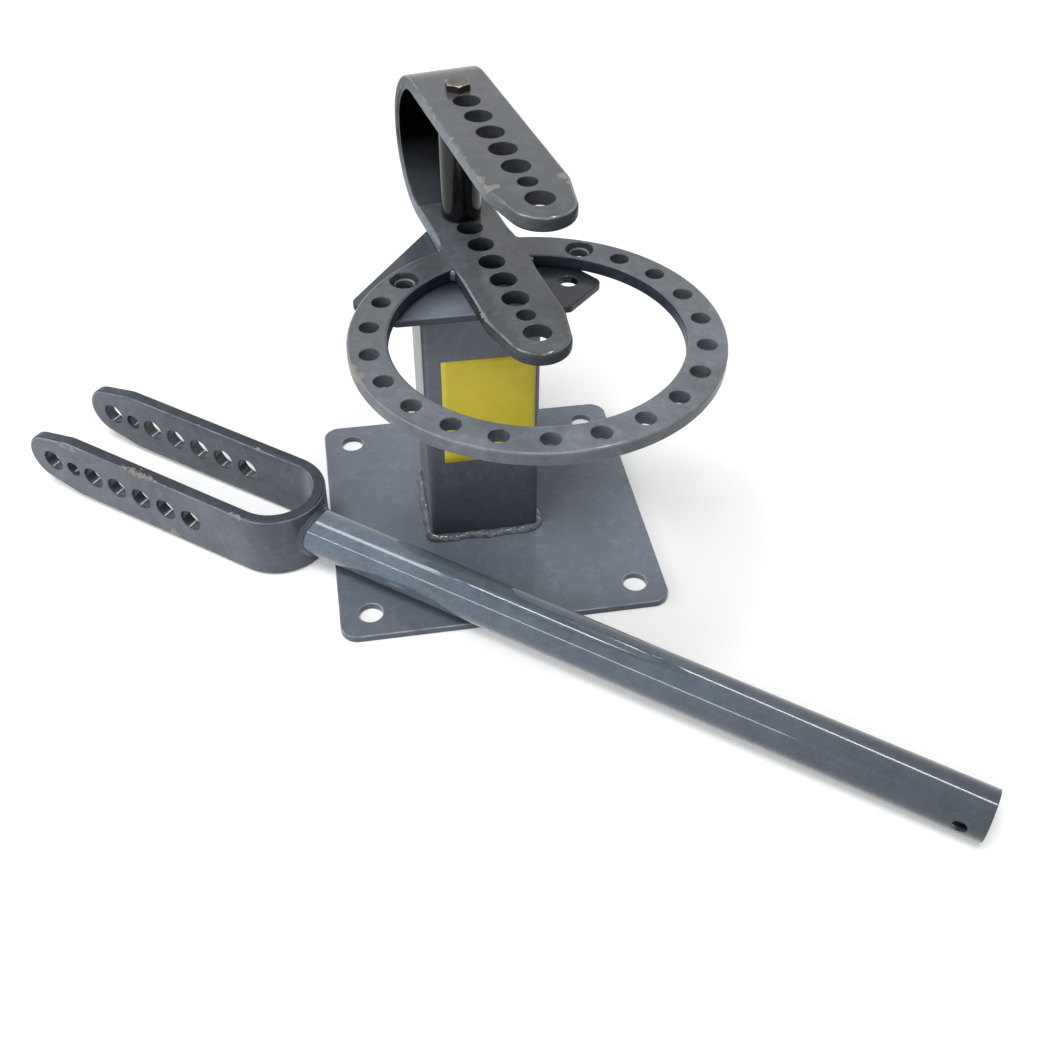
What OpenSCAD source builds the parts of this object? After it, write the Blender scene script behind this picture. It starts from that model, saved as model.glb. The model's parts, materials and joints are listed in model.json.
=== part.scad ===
// Compact bench bender: a welded pedestal, a U-shaped frame with its stop ring resting loose on top,
// and the fork handle laid on the floor in front.
// Origin: middle of the base plate's underside. +Z is up, +X runs to the right along the base plate's
// front edge, +Y points away from the user. All lengths are in millimetres.

/* [Base plate] */
// Side of the square base plate
base_w = 203; // [185:1:240]
// Thickness of the base plate
base_t = 4.8; // [3:0.1:8]
// Radius of the base plate's corners
base_corner_r = 11; // [4:0.5:16]
// Spacing of the four bench bolt holes, both ways
base_hole_spacing = 165; // [150:1:170]
// Diameter of the bench bolt holes
base_hole_d = 15; // [8:0.5:18]

/* [Post] */
// Outer width of the square post, both ways
post_w = 69; // [60:1:74]
// Wall of the post
post_wall = 3; // [2:0.5:5]
// Outer radius of the post's corners
post_corner_r = 4; // [3:0.5:9]
// Height of the post between its two plates
post_h = 170; // [120:1:240]
// Middle of the post, to the right of the base plate's middle
post_x = -3.5; // [-12:0.5:12]
// Middle of the post, behind the base plate's middle
post_y = 10.5; // [-10:0.5:20]
// Leg of the weld bead round the post's foot
foot_weld_leg = 5.5; // [3:0.5:8]
// Leg of the short weld beads under the top plate
head_weld_leg = 4; // [2:0.5:5]
// Length of the short weld beads under the top plate
head_weld_len = 42; // [20:1:46]

/* [Top plate] */
// Thickness of the top plate
top_t = 4.8; // [3:0.1:8]
// Reach of each ear beyond the middle of its screw hole
ear_reach = 19.2; // [14:0.1:26]
// Width of the top plate's straight front edge
top_front_w = 98; // [80:1:106]
// Width of the top plate's straight back edge
top_back_w = 35; // [30:1:60]
// Screw holes to the front edge
top_front_reach = 25.5; // [20:0.5:32]
// Screw holes to the back edge
top_back_reach = 73.5; // [70:0.5:90]
// Ears' outer corners in front of the screw holes
ear_y = 3; // [0:0.5:8]
// Screw holes to the middle of the post
top_hole_reach = 19; // [14:0.5:24]
// Radius of the top plate's corners
top_corner_r = 5; // [2:0.5:7]

/* [Bar stock] */
// Width of the flat bar that the frame and the fork are bent from
bar_w = 45; // [40:0.5:52]
// Thickness of the flat bar and of the ring
bar_t = 8; // [6:0.5:10]

/* [Frame] */
// Clear gap between the frame's two arms
frame_gap = 69.3; // [60:0.1:80]
// Pin hole of the frame to the start of its bend
frame_arm = 150.5; // [146:0.5:180]
// Turn of the frame on its pedestal, in degrees
frame_turn = 10; // [0:1:12]
// Pin hole of the frame, to the right of the post's middle
frame_x = 23.5; // [16:0.5:26]
// Pin hole of the frame, in front of the post's middle
frame_y = 79; // [72:0.5:84]

/* [Holes in the arms] */
// Diameter of the pin hole and of the row of setting holes
pin_hole_d = 15; // [12:0.5:17]
// Diameter of the small hole, the ring's holes and the two screw holes
stop_hole_d = 10.4; // [8:0.1:12]
// Pin hole to the small hole
small_hole_reach = 17.6; // [16:0.1:18.4]
// Pin hole to the first setting hole
row_start = 34.8; // [34:0.1:38]
// Pitch of the setting holes
row_pitch = 20.2; // [18:0.1:20.4]
// Number of setting holes in each arm
row_count = 5; // [2:1:5]

/* [Arm tips] */
// Radius of the rounded nose of each arm
nose_r = 17.6; // [14:0.1:19]
// Pin hole to the middle of the nose
nose_shift = 3; // [0:0.5:5]
// Pin hole to the end of the tip's taper
taper_len = 17.5; // [12:0.5:30]

/* [Stop ring] */
// Outer diameter of the ring
ring_outer_d = 200; // [196:1:210]
// Width of the ring's flat, from its outer to its inner edge
ring_w = 21.5; // [18:0.5:26]
// Outer edge of the ring to the circle that its holes lie on
ring_hole_inset = 11.1; // [8:0.1:13]
// Number of stop holes
stop_count = 17; // [3:2:17]
// Angle between neighbouring stop holes
stop_step = 16; // [12:1:16]
// Angle from the front of the ring to each screw hole
screw_angle = 144; // [144:1:148]
// Mouth of the countersunk screw holes
sink_d = 16.5; // [14:0.5:19]
// Leg of the weld beads between the ring and the lower arm
ring_weld_leg = 3; // [2:0.5:6]

/* [Spreader] */
// Spreader bolt in front of the start of the frame's bend
spreader_back = 18.5; // [14:0.5:22]
// Diameter of the spreader sleeve
sleeve_d = 24; // [16:0.5:26]
// Rounding of the sleeve's lower end
sleeve_round = 3; // [1:0.5:5]
// Diameter of the spreader bolt's shank
bolt_d = 8; // [6:0.5:10]
// Width across the flats of the bolt's head
bolt_flats = 13; // [12:0.5:16]
// Height of the bolt's head
bolt_head_h = 4.2; // [3:0.1:7]

/* [Fork handle] */
// Room on each side of the fork between the frame's arms
fork_play = 1.9; // [0.5:0.1:4]
// Pin hole of the fork to the start of its bend
fork_arm = 158.5; // [140:0.5:175]
// Outer diameter of the handle tube
tube_d = 30; // [24:0.5:32]
// Wall of the handle tube
tube_wall = 2.5; // [1.5:0.1:4]
// Length of the handle tube beyond the fork's bend
tube_len = 423; // [380:1:600]
// Diameter of the cross hole near the end of the tube
cross_hole_d = 8; // [4:0.5:10]
// End of the tube to the cross hole
cross_hole_reach = 13.2; // [8:0.5:20]
// Leg of the weld bead round the tube at the fork
tube_weld_leg = 4; // [3:0.5:6]

/* [Place of the handle] */
// Turn of the handle on the floor, in degrees
handle_turn = 38.5; // [36:0.5:44]
// Room between the fork's bend and the base plate's left edge
handle_gap = 0.6; // [0.5:0.1:8]
// Fork's bend in front of the base plate's middle
handle_y = 24; // [10:1:30]

/* [Hidden] */
$fn = 96;

// The ring's inner diameter and the circle of its holes follow its outer edge
ring_inner_d = ring_outer_d - 2 * ring_w;
ring_hole_circle = ring_outer_d - 2 * ring_hole_inset;

// Paint colours
slate = [0.40, 0.44, 0.47];
dark_slate = [0.22, 0.24, 0.29];
blue_slate = [0.33, 0.37, 0.44];
nickel = [0.62, 0.58, 0.48];

// Clearances: round a bolt, round a tapped thread, along a curved weld seam, and over the plate
bolt_play = 0.25;
thread_play = 0.1;
seam_play = 0.1;
lie_play = 0.3;
// Overrun of every cut
over = 1;
// Chamfer of the bolt's head at its corners, as a share of the head's height
head_chamfer_share = 0.25;
// Smallest radius inside the post's corners
least_inner_r = 0.5;
// Distance that the bolt's end stays inside the lower arm
bolt_recess = 0.6;
// Weld metal left below the ground face of the ring
weld_sink = 0.4;
// Radius of a corner's arc as a share of the tangent one
arc_share = 1.01;

// Heights of the stack
top_plate_z = base_t + post_h;
frame_z = top_plate_z + top_t;

// Widths and radii
hole_line_y = post_y - top_hole_reach;
frame_bend_r = frame_gap / 2 + bar_t;
spreader_reach = frame_arm - spreader_back;
fork_w = frame_gap - 2 * fork_play;
fork_gap = fork_w - 2 * bar_t;
fork_r = fork_w / 2;
tube_r = tube_d / 2;
screw_spacing = ring_hole_circle * sin(180 - screw_angle);
ear_x = screw_spacing / 2 + ear_reach;

// The handle rests on the lower edge of its bend and on the far end of its tube
handle_dip = atan((bar_w / 2 - tube_r) / tube_len);
handle_x = -base_w / 2 - handle_gap - fork_r * (1 - cos(handle_turn));
bend_rest_z = bar_w / 2 * cos(handle_dip);
// Height of the tube's axis where it passes over the base plate's front edge
edge_run = (base_w / 2 - handle_y) / sin(handle_turn);
edge_axis_z = bend_rest_z - edge_run * tan(handle_dip);
handle_lift = max(0, base_t + lie_play + tube_r - edge_axis_z);

function unit(v) = v / norm(v);

// Outline with every corner cut back to one radius by a true arc. The arc is a little wider than the
// tangent one, so that it crosses both edges cleanly.
module rounded_outline(points, r) {
    n = len(points);
    before = [for (i = [0:n - 1]) unit(points[(i + n - 1) % n] - points[i])];
    after = [for (i = [0:n - 1]) unit(points[(i + 1) % n] - points[i])];
    half = [for (i = [0:n - 1]) acos(before[i] * after[i]) / 2];
    difference() {
        polygon(points);
        for (i = [0:n - 1]) {
            middle = points[i] + unit(before[i] + after[i]) * r / sin(half[i]);
            arc_in = points[i] + before[i] * r / tan(half[i]);
            arc_out = points[i] + after[i] * r / tan(half[i]);
            difference() {
                polygon([
                    middle,
                    2 * arc_in - middle,
                    2 * points[i] - middle,
                    2 * arc_out - middle]);
                translate(middle)
                    circle(r = r * arc_share);
            }
        }
    }
}

function rectangle(w, d) = [[-w / 2, -d / 2], [w / 2, -d / 2], [w / 2, d / 2], [-w / 2, d / 2]];

module at_post() {
    translate([post_x, post_y, base_t])
        children();
}

// Frame's own axes: pin hole at the origin, arms along +X, underside at z = 0
module at_frame() {
    translate([post_x + frame_x, post_y - frame_y, frame_z])
        rotate([0, 0, 90 + frame_turn])
            children();
}

// Handle's own axes: outer face of the fork's bend at the origin, tube along +X, fork lying flat
module at_handle() {
    translate([handle_x, -handle_y, bend_rest_z + handle_lift])
        rotate([0, 0, -handle_turn])
            rotate([0, handle_dip, 0])
                children();
}

module base_plate() {
    color(slate)
        linear_extrude(base_t)
            difference() {
                rounded_outline(rectangle(base_w, base_w), base_corner_r);
                for (x = [-1, 1], y = [-1, 1])
                    translate([x, y] * base_hole_spacing / 2)
                        circle(d = base_hole_d);
            }
}

module post_tube() {
    inner_w = post_w - 2 * post_wall;
    color(dark_slate)
        at_post()
            linear_extrude(post_h)
                difference() {
                    rounded_outline(rectangle(post_w, post_w), post_corner_r);
                    rounded_outline(rectangle(inner_w, inner_w), max(post_corner_r - post_wall, least_inner_r));
                }
}

// Quarter-round section of a weld bead with its corner at the origin
module bead_section(leg) {
    intersection() {
        circle(r = leg);
        square(leg);
    }
}

module foot_weld() {
    side = post_w - 2 * post_corner_r;
    inner_r = post_corner_r + seam_play;
    color(slate)
        at_post()
            for (turn = [0:90:270])
                rotate([0, 0, turn]) {
                    translate([post_w / 2 + seam_play, side / 2, 0])
                        rotate([90, 0, 0])
                            linear_extrude(side)
                                bead_section(foot_weld_leg);
                    translate([side / 2, side / 2, 0])
                        rotate_extrude(angle = 90)
                            translate([inner_r, 0])
                                bead_section(foot_weld_leg);
                }
}

// Plan of the top plate: two ears that carry the screw holes, and a back narrowed to the arm's width
module top_outline() {
    rounded_outline([
        [-top_front_w / 2, -top_front_reach],
        [top_front_w / 2, -top_front_reach],
        [ear_x, -ear_y],
        [top_back_w / 2, top_back_reach],
        [-top_back_w / 2, top_back_reach],
        [-ear_x, -ear_y]], top_corner_r);
}

module top_plate() {
    color(slate)
        translate([post_x, hole_line_y, top_plate_z])
            linear_extrude(top_t)
                difference() {
                    top_outline();
                    for (side = [-1, 1])
                        translate([side * screw_spacing / 2, 0])
                            circle(d = stop_hole_d);
                }
}

module head_welds() {
    color(dark_slate)
        at_post()
            for (turn = [0:90:270])
                rotate([0, 0, turn])
                    translate([post_w / 2, -head_weld_len / 2, post_h])
                        rotate([-90, 0, 0])
                            linear_extrude(head_weld_len)
                                bead_section(head_weld_leg);
}

// Plan of one arm: a rounded nose whose tangents run out to the bar's full width
module arm_outline(reach) {
    corner = [taper_len, bar_w / 2];
    nose = [-nose_shift, 0];
    lean = atan2(corner.y, corner.x + nose_shift) + acos(nose_r / norm(corner - nose));
    tangent = nose + nose_r * [cos(lean), sin(lean)];
    translate(nose)
        circle(r = nose_r);
    polygon([
        [tangent.x, -tangent.y],
        [corner.x, -corner.y],
        [reach, -corner.y],
        [reach, corner.y],
        corner,
        tangent]);
}

// Side view of a bar bent into a U: two straight legs and a half round
module bend_profile(gap, leg) {
    r = gap / 2 + bar_t;
    start = -nose_shift - nose_r - over;
    difference() {
        union() {
            translate([start, -r])
                square([leg - start, 2 * r]);
            translate([leg, 0])
                circle(r = r);
        }
        translate([start - over, -gap / 2])
            square([leg - start + over, gap]);
        translate([leg, 0])
            circle(d = gap);
    }
}

// Flat bar bent into a U, with tapered noses and the row of holes drilled through both arms.
// Pin hole at the origin, arms along +X, one above the other about z = 0
module bent_bar(gap, leg) {
    r = gap / 2 + bar_t;
    difference() {
        intersection() {
            rotate([90, 0, 0])
                linear_extrude(bar_w + 2 * over, center = true)
                    bend_profile(gap, leg);
            linear_extrude(2 * (r + over), center = true)
                arm_outline(leg + r + over);
        }
        for (x = concat([0], [for (i = [0:row_count - 1]) row_start + i * row_pitch]))
            translate([x, 0, 0])
                cylinder(d = pin_hole_d, h = 2 * (r + over), center = true);
        translate([small_hole_reach, 0, 0])
            cylinder(d = stop_hole_d, h = 2 * (r + over), center = true);
    }
}

module frame_bar() {
    color(slate)
        at_frame()
            difference() {
                translate([0, 0, frame_bend_r])
                    bent_bar(frame_gap, frame_arm);
                translate([spreader_reach, 0, bar_t + frame_gap - over])
                    cylinder(r = bolt_d / 2 + bolt_play, h = bar_t + 2 * over);
                translate([spreader_reach, 0, -over])
                    cylinder(r = bolt_d / 2 + thread_play, h = bar_t + 2 * over);
            }
}

// Where the lower arm crosses the ring, as a block over its full width
module arm_block(height) {
    translate([0, -bar_w / 2, -over])
        cube([ring_outer_d / 2 + over, bar_w, height + 2 * over]);
}

module ring_holes() {
    sink_depth = (sink_d - stop_hole_d) / 2;
    for (i = [0:stop_count - 1])
        rotate([0, 0, 180 + (i - (stop_count - 1) / 2) * stop_step])
            translate([ring_hole_circle / 2, 0, -over])
                cylinder(d = stop_hole_d, h = bar_t + 2 * over);
    for (side = [-1, 1])
        rotate([0, 0, 180 + side * screw_angle])
            translate([ring_hole_circle / 2, 0, 0]) {
                translate([0, 0, -over])
                    cylinder(d = stop_hole_d, h = bar_t + 2 * over);
                translate([0, 0, bar_t - sink_depth])
                    cylinder(d1 = stop_hole_d, d2 = sink_d + 2 * over, h = sink_depth + over);
            }
}

module stop_ring() {
    color(slate)
        at_frame()
            difference() {
                cylinder(d = ring_outer_d, h = bar_t);
                translate([0, 0, -over])
                    cylinder(d = ring_inner_d, h = bar_t + 2 * over);
                arm_block(bar_t);
                ring_holes();
            }
}

// Four upright beads in the corners between the lower arm and the ring
module ring_welds() {
    half = bar_w / 2;
    color(slate)
        at_frame()
            difference() {
                for (r = [ring_inner_d / 2, ring_outer_d / 2], side = [-1, 1])
                    translate([sqrt(r * r - half * half), side * half, 0])
                        cylinder(r = ring_weld_leg, h = bar_t - weld_sink);
                translate([0, -half, -over])
                    cube([ring_outer_d / 2 + ring_weld_leg + over, bar_w, bar_t + 2 * over]);
                translate([0, 0, -over])
                    difference() {
                        cylinder(r = ring_outer_d / 2 + seam_play, h = bar_t + 2 * over);
                        translate([0, 0, -over])
                            cylinder(r = ring_inner_d / 2 - seam_play, h = bar_t + 4 * over);
                    }
            }
}

module spreader_sleeve() {
    color(dark_slate)
        at_frame()
            translate([spreader_reach, 0, bar_t])
                rotate_extrude()
                    difference() {
                        union() {
                            translate([0, sleeve_round])
                                square([sleeve_d / 2, frame_gap - sleeve_round]);
                            square([sleeve_d / 2 - sleeve_round, sleeve_round]);
                            translate([sleeve_d / 2 - sleeve_round, sleeve_round])
                                circle(r = sleeve_round);
                        }
                        translate([0, -over])
                            square([bolt_d / 2 + bolt_play, frame_gap + 2 * over]);
                    }
}

module spreader_bolt() {
    corner_r = bolt_flats / 2 / cos(30);
    chamfer = bolt_head_h * head_chamfer_share;
    shank = frame_gap + 2 * bar_t - bolt_recess;
    color(nickel)
        at_frame()
            translate([spreader_reach, 0, 2 * bar_t + frame_gap]) {
                intersection() {
                    cylinder(r = corner_r, h = bolt_head_h, $fn = 6);
                    rotate_extrude()
                        polygon([
                            [0, 0],
                            [corner_r + over, 0],
                            [corner_r + over, bolt_head_h - chamfer - over / 2],
                            [bolt_flats / 2, bolt_head_h],
                            [0, bolt_head_h]]);
                }
                translate([0, 0, -shank])
                    cylinder(d = bolt_d, h = shank);
            }
}

module fork_bar() {
    color(blue_slate)
        at_handle()
            rotate([90, 0, 0])
                translate([-fork_arm - fork_r, 0, 0])
                    bent_bar(fork_gap, fork_arm);
}

// Round outer face of the fork's bend, which the tube and its weld are cut to
module bend_drum() {
    translate([-fork_r, 0, 0])
        cylinder(r = fork_r + seam_play, h = bar_w + 2 * over, center = true);
}

module handle_tube() {
    saddle = fork_r - sqrt(fork_r * fork_r - tube_r * tube_r);
    color(blue_slate)
        at_handle()
            difference() {
                translate([-saddle, 0, 0])
                    rotate([0, 90, 0])
                        cylinder(d = tube_d, h = tube_len + saddle);
                translate([-saddle - over, 0, 0])
                    rotate([0, 90, 0])
                        cylinder(r = tube_r - tube_wall, h = tube_len + saddle + 2 * over);
                bend_drum();
                translate([tube_len - cross_hole_reach, 0, 0])
                    rotate([90, 0, 0])
                        cylinder(d = cross_hole_d, h = tube_d + 2 * over, center = true);
            }
}

module handle_weld() {
    foot = tube_r + tube_weld_leg;
    saddle = fork_r - sqrt(fork_r * fork_r - foot * foot);
    color(blue_slate)
        at_handle()
            difference() {
                translate([-saddle, 0, 0])
                    rotate([0, 90, 0])
                        cylinder(r1 = foot, r2 = tube_r, h = saddle + tube_weld_leg);
                translate([-saddle - over, 0, 0])
                    rotate([0, 90, 0])
                        cylinder(r = tube_r + seam_play, h = saddle + tube_weld_leg + 2 * over);
                bend_drum();
            }
}

base_plate();
post_tube();
foot_weld();
top_plate();
head_welds();
frame_bar();
stop_ring();
ring_welds();
spreader_sleeve();
spreader_bolt();
fork_bar();
handle_tube();
handle_weld();
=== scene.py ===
"""Looks of the compact bench bender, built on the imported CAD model. Lengths are in metres."""
from math import acos, atan2, cos, pi, radians, sin, sqrt, tan, tau

import bmesh
import bpy
from mathutils import Matrix, Vector, noise
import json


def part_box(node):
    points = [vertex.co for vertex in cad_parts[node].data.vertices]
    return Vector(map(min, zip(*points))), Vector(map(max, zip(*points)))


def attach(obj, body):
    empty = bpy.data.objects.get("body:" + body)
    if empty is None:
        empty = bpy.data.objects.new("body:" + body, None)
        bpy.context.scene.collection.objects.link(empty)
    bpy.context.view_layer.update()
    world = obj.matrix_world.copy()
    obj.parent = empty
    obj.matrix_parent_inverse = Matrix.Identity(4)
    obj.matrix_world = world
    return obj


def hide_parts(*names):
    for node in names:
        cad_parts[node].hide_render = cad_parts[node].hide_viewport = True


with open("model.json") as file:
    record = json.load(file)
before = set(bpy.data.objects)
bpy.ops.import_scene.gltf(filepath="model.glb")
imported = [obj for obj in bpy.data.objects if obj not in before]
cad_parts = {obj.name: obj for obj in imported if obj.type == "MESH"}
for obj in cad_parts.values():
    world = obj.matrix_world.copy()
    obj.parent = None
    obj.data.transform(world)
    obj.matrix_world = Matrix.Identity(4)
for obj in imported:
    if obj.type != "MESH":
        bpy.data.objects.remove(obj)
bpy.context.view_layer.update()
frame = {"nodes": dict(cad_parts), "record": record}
nodes = frame["nodes"]
mounts = {m["name"]: m for m in frame["record"]["mounts"]}
MM = 0.001
UP = Vector((0, 0, 1))
RIGHT = Vector((1, 0, 0))
FRONT = Vector((0, -1, 0))

# Camera, as the photograph was taken
CAMERA_AZIMUTH = radians(-10.43)
CAMERA_ELEVATION = radians(43.20)
CAMERA_ROLL = radians(0.84)
CAMERA_DISTANCE = 0.8362
CAMERA_TARGET = Vector((0.0286, 0, -0.0211))
CAMERA_LENS_MM = 41.39
SENSOR_MM = 36

# Sizes that the frame's boxes don't give
POST_CORNER = 0.004
RING_INNER = 0.0785
BAR_WIDTH = 0.045
BAR_THICKNESS = 0.008
FRAME_ARM = 0.1505
FORK_ARM = 0.1585
NOSE_RADIUS = 0.0176
NOSE_SHIFT = 0.003
TAPER = 0.0175
PIN_HOLE = 0.0075
STOP_HOLE = 0.0052
SMALL_HOLE_AT = 0.0176
ROW_AT = [0.0348 + 0.0202 * i for i in range(5)]
STOP_CIRCLE = 0.0889
STOP_STEP = 16
SCREW_ANGLE = 144
SINK_RADIUS = 0.00825
TUBE_RADIUS = 0.015
TUBE_WALL = 0.0025
HEAD_BEAD = 0.042
BEAD_STEP = 0.0006
BAR_EDGE = 0.0024
GROUND_EDGE = 0.00006
GROUND_FADE = 0.012
FORK_EDGE = 0.0019
RING_EDGE = 0.0015
HOLE_RIM = 0.0005
BOLT_FLATS = 0.013
BOLT_SHANK = 0.004
BOLT_HEAD = 0.0042
BOLT_TOP = 0.0062
BOLT_CHAMFER = 0.58
DECAL_WIDTH = 0.0555
DECAL_HEIGHT = 0.0747
DECAL_LOW = 0.0678
DECAL_SHIFT = 0.0037
DECAL_LIFT = 0.00025
DECAL_BLISTER = 0.00012
DECAL_FILM = 0.0002

# Steps that curves are drawn in
NOSE_STEPS = 24
SHOULDER_STEPS = 6
ARM_STEPS = 40
BEND_STEPS = 64
EDGE_STEPS = 6
RING_STEPS = 240
RING_EDGE_STEPS = 5
HOLE_STEPS = 56
BOLT_STEPS = 48
TUBE_BEAD_STEPS = 150
RING_BEAD_STEPS = 14
DECAL_STEPS = 14

# Places of the materials on the bars and the ring, and the leans and angles that tell their faces apart
FACE, WALL, RIM = range(3)
WALL_LEAN, RIM_LEAN = 0.70, 0.96
CUT_SHARP, BOLT_SHARP = 35, 25
FRAME_BEND, FRAME_BORE, FRAME_LOW_WALL = range(3, 6)
FORK_BORE = 3
RING_BORE, RING_SEAT, RING_INSIDE = range(3, 6)

# Sockets of a mix node that mixes colours
MIX_A, MIX_B, MIX_RESULT = 6, 7, 2


def mount_point(name):
    return Vector(mounts[name]["pos_m"])


def direction(name):
    return Vector(mounts[name]["axis"]).normalized()


# Frame: pin hole, direction of the arms, heights and bolt
pin = mount_point("frame_pin_bore")
arm_way = mount_point("frame_setting_bore_4") - pin
arm_way = Vector((arm_way.x, arm_way.y, 0)).normalized()
arm_side = Vector((-arm_way.y, arm_way.x, 0))
arm_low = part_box("frame_bar")[0].z
arm_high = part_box("frame_bar")[1].z
low_top = arm_low + BAR_THICKNESS
arm_half = BAR_WIDTH / 2
bolt_low, bolt_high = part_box("spreader_bolt")
bolt_middle = (bolt_low + bolt_high) / 2


def on_frame(along, across, z):
    return Vector((pin.x, pin.y, 0)) + arm_way * along + arm_side * across + UP * z


# Handle: the tube's axis, the fork's side direction and the outer face of its bend
fork_side = direction("fork_pin_bore")
fork_radius = mounts["fork_pin_bore"]["dims"]["length_mm"] * MM / 2
fork_pin = mount_point("fork_pin_bore") - fork_side * (fork_radius - BAR_THICKNESS / 2)
tube_pin = mount_point("tube_cross_bore") - fork_side * (TUBE_RADIUS - TUBE_WALL / 2)
tube_way = (tube_pin - fork_pin).normalized()
fork_up = tube_way.cross(fork_side)
bend_face = fork_pin + tube_way * (FORK_ARM + fork_radius)


def on_handle(along, across, height):
    return bend_face + tube_way * along + fork_side * across + fork_up * height


# Materials

class Shader:
    """A node material under construction."""

    def __init__(self, name):
        self.material = bpy.data.materials.new(name)
        self.material.use_nodes = True
        self.tree = self.material.node_tree
        self.bsdf = self.tree.nodes["Principled BSDF"]
        place = self.add("ShaderNodeTexCoord")
        self.coords, self.normals = place.outputs["Object"], place.outputs["Normal"]

    def add(self, kind, **values):
        made = self.tree.nodes.new(kind)
        for name, value in values.items():
            setattr(made, name, value)
        return made

    def link(self, source, target):
        self.tree.links.new(source, target)

    def set(self, name, value):
        self.bsdf.inputs[name].default_value = value

    def noise(self, scale, detail=2.0, rough=0.5, warp=0.0, stretch=None, turn=None, shift=(0, 0, 0)):
        """A noise value from 0 to 1 in the object's own coordinates."""
        mapping = self.add("ShaderNodeMapping")
        mapping.inputs["Location"].default_value = shift
        if turn:
            mapping.inputs["Rotation"].default_value = turn
        if stretch:
            mapping.inputs["Scale"].default_value = stretch
        self.link(self.coords, mapping.inputs["Vector"])
        made = self.add("ShaderNodeTexNoise")
        made.inputs["Scale"].default_value = scale
        made.inputs["Detail"].default_value = detail
        made.inputs["Roughness"].default_value = rough
        made.inputs["Distortion"].default_value = warp
        self.link(mapping.outputs["Vector"], made.inputs["Vector"])
        return made.outputs["Fac"]

    def range(self, value, low, high, to_low=0.0, to_high=1.0):
        made = self.add("ShaderNodeMapRange")
        made.inputs["From Min"].default_value = low
        made.inputs["From Max"].default_value = high
        made.inputs["To Min"].default_value = to_low
        made.inputs["To Max"].default_value = to_high
        self.link(value, made.inputs["Value"])
        return made.outputs["Result"]

    def math(self, operation, a, b=None):
        made = self.add("ShaderNodeMath", operation=operation)
        for socket, value in zip(made.inputs, (a, b)):
            if value is None:
                continue
            if isinstance(value, (int, float)):
                socket.default_value = value
            else:
                self.link(value, socket)
        return made.outputs["Value"]

    def mix(self, factor, a, b):
        """Mixes two colours, each a colour or a socket."""
        made = self.add("ShaderNodeMix", data_type="RGBA")
        self.link(factor, made.inputs["Factor"])
        for place, value in ((MIX_A, a), (MIX_B, b)):
            if isinstance(value, tuple):
                made.inputs[place].default_value = (*value, 1)
            else:
                self.link(value, made.inputs[place])
        return made.outputs[MIX_RESULT]

    def vector(self, operation, a, b=None, result="Value"):
        """Works on a vector socket, where b is a fixed vector."""
        made = self.add("ShaderNodeVectorMath", operation=operation)
        self.link(a, made.inputs[0])
        if b is not None:
            made.inputs[1].default_value = b
        return made.outputs[result]

    def spots(self, points, grain, ragged=0.6, blur=0.06):
        """A mask that is 1 inside ragged spots, each a point and a radius."""
        total = None
        rough = self.noise(grain, 6.0, 0.68, 0.4)
        for point, radius in points:
            near = self.range(self.vector("DISTANCE", self.coords, point), 0, radius, 1 + ragged, 0)
            total = near if total is None else self.math("MAXIMUM", total, near)
        field = self.math("SUBTRACT", total, self.math("MULTIPLY", rough, 1 + ragged))
        return self.range(field, 0.0, blur)

    def edge_chips(self, runs, grain=330, blur=0.0002):
        """A mask that is 1 in ragged strips along edges, each a start, an end and the strip's width."""
        total = None
        rough = self.range(self.noise(grain, 5.0, 0.72, 0.5), 0.32, 0.68, -0.35, 1.35)
        for start, end, width in runs:
            way = (end - start).normalized()
            away = self.vector("SUBTRACT", self.coords, (start + end) / 2, "Vector")
            along = self.math("ABSOLUTE", self.vector("DOT_PRODUCT", away, way))
            off = self.vector("LENGTH", self.vector("CROSS_PRODUCT", away, way, "Vector"))
            reach = self.range(along, 0, (end - start).length / 2, width, 0)
            edge = self.math("SUBTRACT", self.math("MULTIPLY", reach, rough), off)
            total = edge if total is None else self.math("MAXIMUM", total, edge)
        return self.range(total, 0.0, blur)

    def bump(self, height, strength, distance, under=None):
        made = self.add("ShaderNodeBump")
        made.inputs["Strength"].default_value = strength
        made.inputs["Distance"].default_value = distance
        self.link(height, made.inputs["Height"])
        if under is not None:
            self.link(under, made.inputs["Normal"])
        return made.outputs["Normal"]


def scaled(colour, share, lift=0.0):
    return tuple(c * share + lift for c in colour)


def scaled_tone(s, tone, share):
    made = s.add("ShaderNodeMix", data_type="RGBA", blend_type="MULTIPLY")
    made.inputs["Factor"].default_value = 1
    s.link(tone, made.inputs[MIX_A])
    made.inputs[MIX_B].default_value = (share, share, share, 1)
    return made.outputs[MIX_RESULT]


SIDE_TURN = (0.45, 0.75)
PRIMER = (0.27, 0.26, 0.235)


def painted_light_tone(s, tone, fades):
    """Paints light and shade into the tone. Each fade is a direction, two places along it and the tone's
    shares there.

    A tuple in the direction's place is a point that the fade spreads from.
    A normal at the end limits the fade to the sides that face that way.
    """
    for way, low, high, at_low, at_high, *sides in fades:
        measure = "DISTANCE" if isinstance(way, tuple) else "DOT_PRODUCT"
        along = s.range(s.vector(measure, s.coords, way), low, high)
        faded = s.mix(along, scaled_tone(s, tone, at_low), scaled_tone(s, tone, at_high))
        for side in sides:
            facing = s.range(s.vector("DOT_PRODUCT", s.normals, side), *SIDE_TURN)
            faded = s.mix(facing, tone, faded)
        tone = faded
    return tone


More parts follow.
